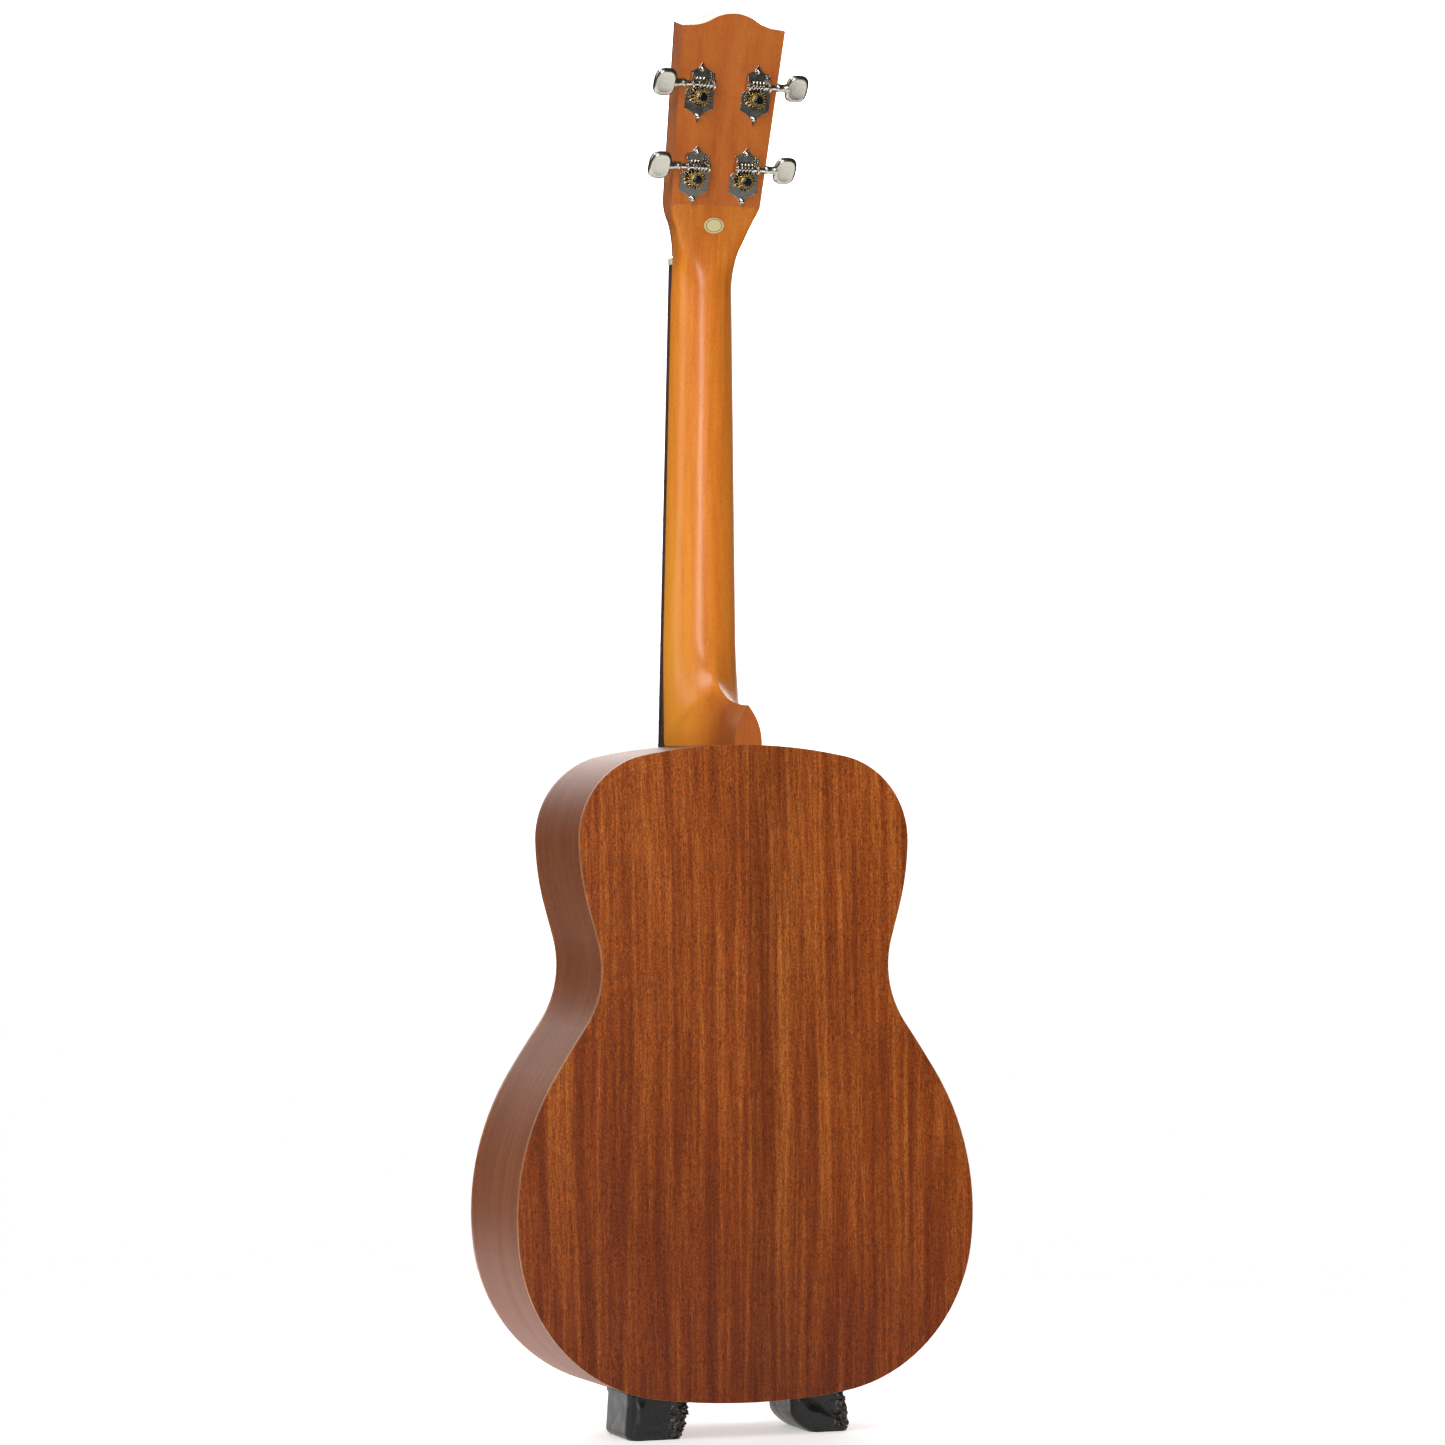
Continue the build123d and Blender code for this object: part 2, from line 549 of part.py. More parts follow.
def make_stand():
    """Two rods with padded blocks, sleeves, a cross plate, and a rear strut on a rubber foot."""
    parts = {}
    slope = math.tan(math.radians(LEAN))
    rod_y = BACK_Y + DEPTH_TAIL + GAP + SLEEVE_R + TAIL_HEIGHT * slope
    plate_y = rod_y + ROD_R + 70 * slope
    sleeves = []
    for name, side in (("left", -1), ("right", 1)):
        rod = stand_rod(side)
        core, wrap = stand_block(side)
        parts[f"stand_rod_{name}"] = rod
        parts[f"block_core_{name}"] = core - rod
        parts[f"block_wrap_{name}"] = wrap - rod
        lean = Pos(ROD_X * side, rod_y - 15.3 * slope, 0) * Rot(X=-LEAN)
        sleeve = Pos(0, 0, 172) * (Cylinder(SLEEVE_R, 110) - Cylinder(ROD_R, 110))
        sleeves.append(lean * sleeve)
    parts["upright_sleeves"] = as_group(sleeves)
    plate = Pos(0, plate_y + 2.2, 82) * Box(2 * ROD_X + 16, 4.0, 22)
    strut_y = plate_y + 4.2
    far = BACK_Y + FOOT_Y
    profile = [(strut_y, 92), (strut_y, 62), (far, 7), (far + 3, 10), (strut_y + 4, 66), (strut_y + 4, 92)]
    strut = side_prism(profile, 10)
    foot = Pos(0, far, 6) * Cylinder(FOOT_R, 12)
    parts["rear_foot"] = foot - strut
    screws = []
    for x in (-ROD_X, ROD_X):
        screws.append(Pos(x, plate_y + 1.5, 82) * Rot(X=-90) * Cylinder(1.8, 9))
        screws.append(Pos(x, plate_y + 5.4, 82) * Rot(X=-90) * Cylinder(3.4, 2.4))
    for x in (-5.5, 5.5):
        screws.append(Pos(x, strut_y, 82) * Rot(X=-90) * Cylinder(1.8, 12))
        screws.append(Pos(x, strut_y + 5.2, 82) * Rot(X=-90) * Cylinder(3.4, 2.4))
    joined = [screws[n] + screws[n + 1] for n in range(0, len(screws), 2)]
    parts["stand_screws"] = as_group(joined)
    for bolt in joined:
        plate = plate - bolt
        strut = strut - bolt
        for name in ("left", "right"):
            parts[f"stand_rod_{name}"] = parts[f"stand_rod_{name}"] - bolt
    parts["cross_plate"] = plate
    parts["rear_strut"] = strut
    return parts


# ---------------------------------------------------------------- everything together
def make_all():
    """Every node, in its place."""
    guitar = {}
    guitar.update(make_body())
    guitar.update(make_neck())
    guitar.update(make_bridge())
    guitar.update(make_tuners())
    for hole in guitar.pop("screw_holes"):
        guitar["headstock"] = guitar["headstock"] - hole
        guitar["neck"] = guitar["neck"] - hole
    nodes = {name: PLACE * piece for name, piece in guitar.items()}
    nodes.update(make_stand())
    return nodes


if __name__ == "__main__":
    os.makedirs("parts", exist_ok=True)
    for node, piece in make_all().items():
        export_step(as_group([piece]), f"parts/{node}.step")
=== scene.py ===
"""The looks of a small four-string guitar on a stand with two wrapped blocks, seen from its back.

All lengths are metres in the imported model's frame: x across the guitar, y towards its strings, z up.
"""
import json
import math
import random

import bmesh
import bpy
import numpy as np
from mathutils import Matrix, Vector, noise


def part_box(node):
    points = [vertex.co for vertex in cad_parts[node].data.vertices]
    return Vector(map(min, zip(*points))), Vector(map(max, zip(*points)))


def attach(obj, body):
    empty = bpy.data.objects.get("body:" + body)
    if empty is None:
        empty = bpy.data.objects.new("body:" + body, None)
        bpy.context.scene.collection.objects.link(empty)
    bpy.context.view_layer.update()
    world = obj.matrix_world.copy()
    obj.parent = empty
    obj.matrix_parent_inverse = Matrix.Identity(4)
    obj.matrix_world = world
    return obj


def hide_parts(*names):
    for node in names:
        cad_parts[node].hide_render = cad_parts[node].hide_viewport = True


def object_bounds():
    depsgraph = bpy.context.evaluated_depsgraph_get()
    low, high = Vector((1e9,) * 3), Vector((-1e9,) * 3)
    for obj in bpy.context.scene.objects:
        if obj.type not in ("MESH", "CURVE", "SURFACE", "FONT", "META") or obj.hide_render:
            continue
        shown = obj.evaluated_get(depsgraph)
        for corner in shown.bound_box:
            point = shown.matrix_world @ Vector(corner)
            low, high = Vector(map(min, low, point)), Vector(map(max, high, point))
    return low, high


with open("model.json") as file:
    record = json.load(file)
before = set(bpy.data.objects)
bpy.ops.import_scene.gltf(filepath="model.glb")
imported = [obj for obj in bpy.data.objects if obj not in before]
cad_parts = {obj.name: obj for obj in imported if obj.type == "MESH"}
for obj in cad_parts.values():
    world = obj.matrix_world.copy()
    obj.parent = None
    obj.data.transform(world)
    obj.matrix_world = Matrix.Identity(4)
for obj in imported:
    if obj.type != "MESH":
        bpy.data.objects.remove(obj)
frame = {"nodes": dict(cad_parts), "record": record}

CAD_BOX = [list(corner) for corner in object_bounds()]
NODES = frame["nodes"]
RECORD = frame["record"]
MM = 0.001

# ---------------------------------------------------------------- driving dimensions
DEPTH_NECK = 69.7 * MM        # the body's depth where the neck meets it
BODY_LENGTH = 354.93 * MM
NUT_UP = 620.56 * MM          # nut above the tail, along the neck
NECK_SLOPE = math.tan(math.radians(0.7))
HALF_AT_BODY = 21.9 * MM      # the neck's half width at the body and at the nut
HALF_AT_NUT = 17.3 * MM
HEAD_THICK = 14.0 * MM
VENEER = 1.5 * MM
TUNER_UP = {1: 47.6 * MM, 2: 93.0 * MM, 3: 93.0 * MM, 4: 47.6 * MM}
SOUNDHOLE_UP = 251.0 * MM
SEAM_X = 2.0 * MM             # the seams and the heel sit this far off the middle
HEEL_REACH = 62.0 * MM        # how far up the neck the heel's curve goes
NECK_DEEP_AT_BODY = 17.5 * MM     # the neck's depth at the body and at the nut
NECK_DEEP_AT_NUT = 15.0 * MM
SCARF_UP = 33.0 * MM          # the scarf joint meets the headstock's back here
SCARF_RUN = 31.0 * MM         # and runs this far down through its thickness
RIM_CENTRE = 0.53             # the sides' figure turns round this share of the body's length
OTHER_HALF = 0.613            # moves the grain, so that the two sides of a seam differ
GEAR_GAPS = 18.0              # gaps of painted shade round a gear; its CAD mesh has 15 teeth

# ---------------------------------------------------------------- frames, all from the imported model
JOINTS = {joint["name"]: joint for joint in RECORD["behaviour"]["joints"]}
BODY_OF = {node: body for body, nodes in RECORD["behaviour"]["bodies"].items() for node in nodes}
SLOT_OF = {part["node"]: part["material_slot"] for part in RECORD["subparts"]}
ACROSS = Vector((1, 0, 0))
UP = Vector(JOINTS["guitar_lift"]["axis"]).normalized()
OUT = Vector((0, UP.z, -UP.y))
TOP_LOW, TOP_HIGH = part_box("soundboard")
TAIL = Vector((0, TOP_HIGH[1] - BODY_LENGTH * UP.y, TOP_LOW[2]))
HEAD_OUT = Vector(JOINTS["post_turn_1"]["axis"]).normalized()
HEAD_UP = Vector((0, HEAD_OUT.z, -HEAD_OUT.y))
POST_1 = Vector(JOINTS["post_turn_1"]["pos_m"])
HEAD_FOOT = Vector((0, POST_1.y, POST_1.z)) - HEAD_UP * TUNER_UP[1] - HEAD_OUT * 4.0 * MM


def on_guitar(x, y, z):
    """A point across, out of the soundboard and up the guitar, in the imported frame."""
    return TAIL + ACROSS * x + OUT * y + UP * z


def on_head(x, up, out):
    """A point across, up and out of the back of the headstock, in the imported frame."""
    return HEAD_FOOT + ACROSS * x + HEAD_UP * up + HEAD_OUT * out


# ---------------------------------------------------------------- node graphs
class Graph:
    """A Principled material, with short calls for the nodes that it is made of."""

    def __init__(self, name, **shader):
        self.material = bpy.data.materials.new(name)
        self.material.use_nodes = True
        self.tree = self.material.node_tree
        self.shader = self.tree.nodes["Principled BSDF"]
        for socket, value in shader.items():
            self.shader.inputs[socket.replace("_", " ")].default_value = value
        self.place = self.add("ShaderNodeTexCoord").outputs["Object"]

    def add(self, kind, inputs=None, **settings):
        node = self.tree.nodes.new(kind)
        for key, value in settings.items():
            setattr(node, key, value)
        for key, value in (inputs or {}).items():
            if isinstance(value, bpy.types.NodeSocket):
                self.tree.links.new(value, node.inputs[key])
            else:
                node.inputs[key].default_value = value
        return node

    def math(self, operation, *values):
        node = self.add("ShaderNodeMath", dict(enumerate(values)), operation=operation)
        return node.outputs[0]

    def distance(self, across, up):
        squares = self.math("ADD", self.math("MULTIPLY", across, across),
                            self.math("MULTIPLY", up, up))
        return self.math("SQRT", squares)

    def scaled(self, vector, scale):
        return self.add("ShaderNodeMapping", {"Vector": vector, "Scale": scale}).outputs[0]

    def noise(self, vector, scale, detail=2.0, roughness=0.5, distortion=0.0):
        inputs = {"Vector": vector, "Scale": scale, "Detail": detail}
        inputs.update({"Roughness": roughness, "Distortion": distortion})
        return self.add("ShaderNodeTexNoise", inputs).outputs["Fac"]

    def span(self, value, low, high, to_low=0.0, to_high=1.0):
        inputs = {"Value": value, "From Min": low, "From Max": high}
        inputs.update({"To Min": to_low, "To Max": to_high})
        return self.add("ShaderNodeMapRange", inputs, clamp=True).outputs[0]

    def ramp(self, value, stops):
        node = self.add("ShaderNodeValToRGB", {"Fac": value})
        elements = node.color_ramp.elements
        while len(elements) < len(stops):
            elements.new(0.5)
        for element, (place, colour) in zip(elements, stops):
            element.position = place
            element.color = (*colour, 1)
        return node.outputs["Color"]

    def mix(self, factor, first, second, blend="MIX"):
        node = self.add("ShaderNodeMix", data_type="RGBA", blend_type=blend)
        for key, value in ((0, factor), (6, first), (7, second)):
            if isinstance(value, bpy.types.NodeSocket):
                self.tree.links.new(value, node.inputs[key])
            elif key:
                node.inputs[key].default_value = (*value, 1)
            else:
                node.inputs[key].default_value = value
        return node.outputs[2]

    def shaded(self, colour, level, amount=1.0):
        """The colour multiplied by a grey level."""
        return self.mix(amount, colour, self.join(level, level, level), "MULTIPLY")

    def axes(self, vector):
        return self.add("ShaderNodeSeparateXYZ", {"Vector": vector}).outputs

    def join(self, x, y, z):
        return self.add("ShaderNodeCombineXYZ", {"X": x, "Y": y, "Z": z}).outputs[0]

    def finish(self, colour=None, roughness=None, height=None, depth=0.0001, strength=1.0):
        if colour is not None:
            self.tree.links.new(colour, self.shader.inputs["Base Color"])
        if roughness is not None:
            self.tree.links.new(roughness, self.shader.inputs["Roughness"])
        if height is not None:
            inputs = {"Height": height, "Distance": depth, "Strength": strength}
            bump = self.add("ShaderNodeBump", inputs)
            self.tree.links.new(bump.outputs[0], self.shader.inputs["Normal"])
        return self.material


def srgb(red, green, blue):
    """A linear colour from its 0 to 255 display values."""
    return tuple((c / 255 / 12.92) if c <= 10 else ((c / 255 + 0.055) / 1.055) ** 2.4
                 for c in (red, green, blue))


# ---------------------------------------------------------------- woods
def striped_wood(name, dark, middle, light, along="object", stripe=75.0, contrast=1.0, seam=False,
                 speckle=1.0, roughness=0.36, coat=0.2, gloss=0.4):
    """Quarter-sawn wood: soft ribbon stripes along the grain, fine streaks, and short open pores."""
    g = Graph(name, Coat_Weight=coat, Coat_Roughness=0.22, Specular_IOR_Level=gloss)
    x, y, z = g.axes(g.place)
    if along == "rim":
        middle_up = g.math("SUBTRACT", z, TAIL.z + BODY_LENGTH * RIM_CENTRE)
        round_it = g.math("ARCTAN2", x, g.math("MULTIPLY", middle_up, -1.0))
        radius = g.distance(x, middle_up)
        grain = g.join(y, g.math("MULTIPLY", radius, 0.3), g.math("MULTIPLY", round_it, 0.15))
    else:
        grain = g.place
    if seam:
        half = g.math("GREATER_THAN", x, SEAM_X)
        grain = g.join(g.math("ADD", x, g.math("MULTIPLY", half, OTHER_HALF)), y, z)
    drift = g.noise(g.scaled(grain, (1, 1, 0.5)), 9.0, 1.0)
    sway = g.join(g.math("MULTIPLY", g.math("SUBTRACT", drift, 0.5), 0.012), 0.0, 0.0)
    grain = g.add("ShaderNodeVectorMath", {0: grain, 1: sway}, operation="ADD").outputs[0]
    ribbon = g.noise(g.scaled(grain, (1, 0.4, 0.024)), stripe, 2.0, 0.6)
    streak = g.noise(g.scaled(grain, (1, 0.4, 0.026)), stripe * 3.1, 2.0, 0.6)
    hair = g.noise(g.scaled(grain, (1, 0.4, 0.07)), stripe * 10.0, 2.0, 0.7)
    fade = g.noise(g.scaled(grain, (1, 0.4, 0.09)), stripe * 0.6, 1.0)
    tone = g.math("ADD", g.math("MULTIPLY", ribbon, 0.40), g.math("MULTIPLY", streak, 0.36))
    tone = g.math("ADD", tone, g.math("MULTIPLY", hair, 0.24))
    tone = g.math("ADD", tone, g.math("MULTIPLY", g.math("SUBTRACT", fade, 0.5), 0.16))
    low, high = 0.5 - 0.13 / contrast, 0.5 + 0.13 / contrast
    colour = g.ramp(tone, [(low, dark), (0.5 * (low + 0.5), dark), (0.5, middle), (high, light)])
    fleck = g.noise(g.scaled(grain, (1, 0.6, 0.55)), 1400.0, 2.0, 0.75)
    grey = g.span(fleck, 0.3, 0.7, 1 - 0.30 * speckle, 1 + 0.34 * speckle)
    colour = g.shaded(colour, grey)
    pore = g.noise(g.scaled(grain, (1, 1, 0.07)), 2300.0, 1.0, 0.5)
    pore = g.span(pore, 0.60, 0.70, 0.0, 0.40 * speckle)
    colour = g.mix(pore, colour, tuple(c * 0.35 for c in dark))
    if seam:
        near = g.span(g.math("ABSOLUTE", g.math("SUBTRACT", x, SEAM_X)), 0.00008, 0.0004, 0.4, 0.0)
        colour = g.mix(near, colour, tuple(c * 0.5 for c in dark))
    shine = g.span(fleck, 0.3, 0.7, roughness - 0.05, roughness + 0.08)
    height = g.math("ADD", g.math("MULTIPLY", fleck, 0.5), g.math("MULTIPLY", pore, -1.2))
    return g, colour, shine, height


def back_wood():
    """The back: strong ribbons, painted light and shade darker and redder to the tail, dark by the seam,
    painted highlight at the edge.
    """
    g, colour, shine, height = striped_wood(
        "back_ribbon_wood", srgb(119, 53, 15), srgb(143, 69, 21), srgb(190, 110, 42),
        stripe=125.0, seam=True, contrast=0.70, speckle=1.75, coat=0.0, gloss=0.18)
    x, y, z = g.axes(g.place)
    # painted light and shade: the back gets darker and redder towards the tail and lighter towards the
    # neck
    painted_light_tail_to_neck = ((0.50, 1.10), (0.38, 1.12), (0.28, 1.30))      # of red, green and blue
    rise = [g.span(z, TAIL.z, TAIL.z + BODY_LENGTH, *ends) for ends in painted_light_tail_to_neck]
    colour = g.mix(1.0, colour, g.join(*rise), "MULTIPLY")
    beside = g.span(x, SEAM_X, SEAM_X + 0.045, 0.76, 1.0)
    beside = g.math("MAXIMUM", beside, g.math("LESS_THAN", x, SEAM_X))
    colour = g.shaded(colour, beside)
    # painted highlight: a pale colour on the eased edge, where the normal turns away from the back's face
    normal = g.axes(g.add("ShaderNodeTexCoord").outputs["Normal"])
    edge = g.span(g.math("ABSOLUTE", normal[1]), 0.35, 0.93, 0.32, 0.0)
    colour = g.mix(edge, colour, srgb(214, 168, 130))
    return g.finish(colour, shine, height, 0.00006, 0.5)


def rim_wood():
    """The sides: the same wood with a browner, quieter figure along the bend."""
    g, colour, shine, height = striped_wood(
        "rim_wood", srgb(116, 64, 39), srgb(126, 72, 44), srgb(142, 86, 55),
        along="rim", stripe=70.0, contrast=0.5, speckle=0.9, roughness=0.46, coat=0.0, gloss=0.2)
    return g.finish(colour, shine, height, 0.00005, 0.4)


def top_wood():
    g, colour, shine, height = striped_wood(
        "top_wood", srgb(120, 60, 26), srgb(158, 84, 38), srgb(188, 112, 56), seam=True, contrast=0.8)
    return g.finish(colour, shine, height, 0.00005, 0.4)


def neck_wood():
    """Amber lacquer over straight grain: golden towards -x, redder at the heel, darker by the head."""
    g, colour, shine, height = striped_wood(
        "neck_amber_wood", srgb(212, 109, 30), srgb(234, 136, 45), srgb(246, 157, 56),
        stripe=42.0, contrast=0.5, speckle=0.32, roughness=0.31, coat=0.3, gloss=0.3)
    x, y, z = g.axes(g.place)
    heel_low, heel_top, head_near = TAIL.z + 0.40, TAIL.z + 0.43, TAIL.z + 0.60
    gold = g.span(x, -0.020, -0.002, 0.75, 0.0)
    gold = g.math("MULTIPLY", gold, g.span(z, head_near, heel_low, 0.25, 1.0))
    colour = g.mix(gold, colour, srgb(236, 160, 54))
    in_heel = g.span(z, heel_top, heel_low)
    heel = g.math("MULTIPLY", g.span(y, TAIL.y - 0.016, TAIL.y - 0.040, 0.0, 0.72), in_heel)
    colour = g.mix(heel, colour, srgb(158, 78, 34))
    cap = g.math("MULTIPLY", g.span(y, TAIL.y - 0.062, TAIL.y - 0.068, 0.0, 0.6), in_heel)
    colour = g.mix(cap, colour, srgb(122, 54, 22))
    dim = g.span(z, head_near, TAIL.z + 0.645, 1.0, 0.74)
    colour = g.shaded(colour, dim)
    return g.finish(colour, shine, height, 0.00014, 0.7)


def head_wood():
    g, colour, shine, height = striped_wood(
        "headstock_wood", srgb(174, 88, 34), srgb(190, 102, 41), srgb(204, 118, 50),
        stripe=55.0, contrast=0.5, speckle=0.32, roughness=0.32, coat=0.15, gloss=0.3)
    return g.finish(colour, shine, height, 0.00006, 0.5)


def dark_wood():
    g, colour, shine, height = striped_wood(
        "rosewood", srgb(30, 16, 12), srgb(52, 30, 22), srgb(82, 50, 36),
        stripe=160.0, contrast=0.9, roughness=0.42, coat=0.0)
    return g.finish(colour, shine, height, 0.00008, 0.7)


def raw_wood():
    g, colour, shine, height = striped_wood(
        "brace_wood", srgb(186, 146, 98), srgb(208, 170, 120), srgb(222, 190, 142),
        stripe=220.0, contrast=0.8, speckle=0.4, roughness=0.62, coat=0.0)
    return g.finish(colour, shine, height, 0.00005, 0.4)


def rosette():
    """Rings of dark and light wood with a ring of small slanted teeth between them."""
    g = Graph("rosette_inlay", Coat_Weight=0.3, Roughness=0.35)
    centre = on_guitar(0, 0, SOUNDHOLE_UP)
    x, y, z = g.axes(g.place)
    up = g.math("SUBTRACT", z, centre.z)
    radius = g.distance(x, up)
    angle = g.math("MULTIPLY", g.math("ARCTAN2", x, up), 60.0)
    slant = g.math("ADD", angle, g.math("MULTIPLY", radius, 2200.0))
    teeth = g.math("GREATER_THAN", g.math("SINE", slant), 0.0)
    pattern = g.mix(teeth, srgb(66, 34, 20), srgb(224, 196, 142))
    ring = g.math("PINGPONG", g.math("SUBTRACT", radius, 0.0415), 0.0025)
    line = g.math("GREATER_THAN", ring, 0.0016)
    colour = g.mix(line, pattern, srgb(28, 18, 14))
    pale = g.math("GREATER_THAN", ring, 0.0021)
    colour = g.mix(pale, colour, srgb(220, 196, 150))
    grain = g.noise(g.place, 900.0)
    return g.finish(g.shaded(colour, grain, 0.25), None, grain, 0.00003)


# ---------------------------------------------------------------- metals, plastics and the rest
def metal(name, colour, roughness, smudge=0.1, scratch=0.00002):
    """Plated or machined metal with faint smudges and fine scratches."""
    g = Graph(name, Metallic=1.0)
    cloud = g.noise(g.place, 260.0, 3.0, 0.6)
    fine = g.noise(g.scaled(g.place, (1, 1, 0.12)), 2600.0, 2.0)
    shade = g.span(cloud, 0.3, 0.7, 0.90, 1.04)
    tint = g.shaded(colour, shade)
    shine = g.span(cloud, 0.3, 0.72, roughness, roughness + smudge)
    return g.finish(tint, shine, fine, scratch, 0.5)


def gear_brass(n):
    """Brass with painted shade in evenly spaced gaps round a gear's edge."""
    g = Graph(f"gear_brass_{n}", Metallic=1.0)
    centre = Vector(JOINTS[f"post_turn_{n}"]["pos_m"])
    x, y, z = g.axes(g.place)
    across = g.math("SUBTRACT", x, centre.x)
    up = g.math("SUBTRACT", z, centre.z)
    far = g.distance(across, up)
    turn = g.math("SINE", g.math("MULTIPLY", g.math("ARCTAN2", across, up), GEAR_GAPS))
    # painted shade in the gaps between the teeth; the bump below also sinks them
    gap_shade = g.math("MULTIPLY", g.span(turn, -0.2, 0.5), g.span(far, 3.0 * MM, 3.5 * MM))
    cloud = g.noise(g.place, 500.0, 2.0)
    shade = g.mix(cloud, srgb(232, 200, 128), srgb(206, 166, 88))
    colour = g.mix(gap_shade, shade, srgb(74, 52, 20))
    shine = g.span(cloud, 0.3, 0.7, 0.2, 0.34)
    return g.finish(colour, shine, g.math("MULTIPLY", gap_shade, -1.0), 0.0002, 0.6)


def coated(name, colour, roughness, scale=900.0, depth=0.00005, coat=0.0, spread=0.12, gloss=0.5):
    """Moulded, painted or polished material with a fine surface texture."""
    g = Graph(name, Coat_Weight=coat, Specular_IOR_Level=gloss)
    cloud = g.noise(g.place, scale * 0.12, 3.0, 0.6)
    fine = g.noise(g.place, scale, 3.0, 0.65)
    shade = g.span(cloud, 0.3, 0.7, 0.82, 1.16)
    tint = g.shaded(colour, shade)
    shine = g.span(fine, 0.3, 0.7, roughness, roughness + spread)
    return g.finish(tint, shine, fine, depth, 0.6)


def vinyl(side):
    """Glossy black vinyl, with pale specks and bare brown patches mostly towards +x, its torn side."""
    g = Graph(f"black_vinyl_{side}", Specular_IOR_Level=0.35)
    low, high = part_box(f"block_wrap_{side}")
    x, y, z = g.axes(g.place)
    cloud = g.noise(g.place, 130.0, 4.0, 0.65)
    fine = g.noise(g.place, 1600.0, 3.0, 0.6)
    shade = g.span(cloud, 0.3, 0.7, 0.8, 1.25)
    tint = g.shaded(srgb(22, 22, 21), shade)
    torn_from = low[0] + (high[0] - low[0]) * 0.62
    torn = g.span(x, torn_from, high[0], 0.0, 1.0)
    patch = g.noise(g.scaled(g.place, (1, 1, 0.7)), 330.0, 3.0, 0.7)
    bare = g.span(g.math("ADD", patch, g.math("MULTIPLY", torn, 0.10)), 0.665, 0.70, 0.0, 1.0)
    bare = g.math("MULTIPLY", bare, g.math("GREATER_THAN", torn, 0.02))
    colour = g.mix(bare, tint, srgb(104, 82, 60))
    speck = g.noise(g.place, 1500.0, 1.0)
    dust = g.math("MULTIPLY", g.span(speck, 0.70, 0.74, 0.0, 0.9),
                  g.span(x, torn_from, high[0], 0.1, 1.0))
    colour = g.mix(dust, colour, srgb(214, 206, 192))
    shine = g.math("ADD", g.span(cloud, 0.3, 0.7, 0.22, 0.34), g.math("MULTIPLY", bare, 0.5))
    return g.finish(colour, shine, fine, 0.00006, 0.5)


def wound_string():
    """Strings with their fine winding across."""
    g = Graph("wound_string", Metallic=0.85, Roughness=0.32)
    x, y, z = g.axes(g.place)
    pitch = 0.00042
    turn = g.math("SINE", g.math("MULTIPLY", z, 2 * math.pi / pitch))
    shade = g.span(turn, -1, 1, 0.7, 1.0)
    colour = g.shaded(srgb(196, 186, 168), shade)
    return g.finish(colour, None, turn, 0.00004, 0.6)


def label():
    """A plain cream oval with a grey-green ring and nothing written on it."""
    g = Graph("blank_label", Roughness=0.4, Coat_Weight=0.2)
    low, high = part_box("label_badge")
    x, y, z = g.axes(g.place)
    across = g.math("DIVIDE", x, (high[0] - low[0]) / 2)
    up = g.math("DIVIDE", g.math("SUBTRACT", z, (low[2] + high[2]) / 2), (high[2] - low[2]) / 2)
    far = g.distance(across, up)
    ring = g.math("ABSOLUTE", g.math("SUBTRACT", far, 0.80))
    paper = g.noise(g.place, 1500.0, 3.0)
    cream = g.mix(paper, srgb(226, 214, 160), srgb(204, 190, 136))
    colour = g.mix(g.span(ring, 0.035, 0.065, 0.85, 0.0), cream, srgb(104, 108, 78))
    return g.finish(colour, None, paper, 0.00002)


def pearl():
    g = Graph("pearl", Coat_Weight=0.5, Roughness=0.2)
    swirl = g.noise(g.place, 420.0, 3.0, 0.6, 1.5)
    colour = g.ramp(swirl, [(0.3, srgb(206, 206, 190)), (0.5, srgb(240, 236, 224)),
                            (0.7, srgb(196, 214, 214))])
    return g.finish(colour, None, swirl, 0.00002)


MATERIALS = {
    "soundboard_wood": top_wood(),
    "brace_wood": raw_wood(),
    "rosette_inlay": rosette(),
    "neck_wood": neck_wood(),
    "head_wood": head_wood(),
    "dark_wood": dark_wood(),
    "bone": coated("bone", srgb(236, 228, 200), 0.26, 500.0, 0.00002, 0.3),
    "pearl": pearl(),
    "fret_wire": metal("fret_wire", srgb(210, 208, 200), 0.18),
    "strings": wound_string(),
    "nickel": metal("nickel", srgb(206, 202, 192), 0.10, 0.10),
    "dark_screw": coated("dark_screw", srgb(14, 14, 15), 0.06, 900.0, 0.00001, 1.0, 0.03, 0.8),
    "black_steel": coated("powder_coated_steel", srgb(24, 24, 25), 0.42, 1400.0, 0.00010),
    "black_rubber": coated("black_rubber", srgb(26, 26, 26), 0.66, 1100.0, 0.00012),
}
BACK_WOOD = back_wood()
RIM_WOOD = rim_wood()
BUTTON_METAL = metal("button_nickel", srgb(184, 180, 168), 0.20)
NODE_MATERIALS = {
    "back_plate": BACK_WOOD,
    "rim_left": RIM_WOOD,
    "rim_right": RIM_WOOD,
    "label_badge": label(),
    **{f"tuning_button_{n}": BUTTON_METAL for n in TUNER_UP},
    **{f"drive_gear_{n}": gear_brass(n) for n in TUNER_UP},
    "block_wrap_left": vinyl("left"),
    "block_wrap_right": vinyl("right"),
}


def material_of(node):
    return NODE_MATERIALS.get(node) or MATERIALS[SLOT_OF[node]]


# ---------------------------------------------------------------- mesh helpers
def adopt(piece, *nodes):
    """A piece stands for these nodes, and takes the body, slot and material of the first."""
    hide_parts(*nodes)
    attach(piece, BODY_OF[nodes[0]])
    piece.data.materials.clear()
    piece.data.materials.append(material_of(nodes[0]))
    return piece


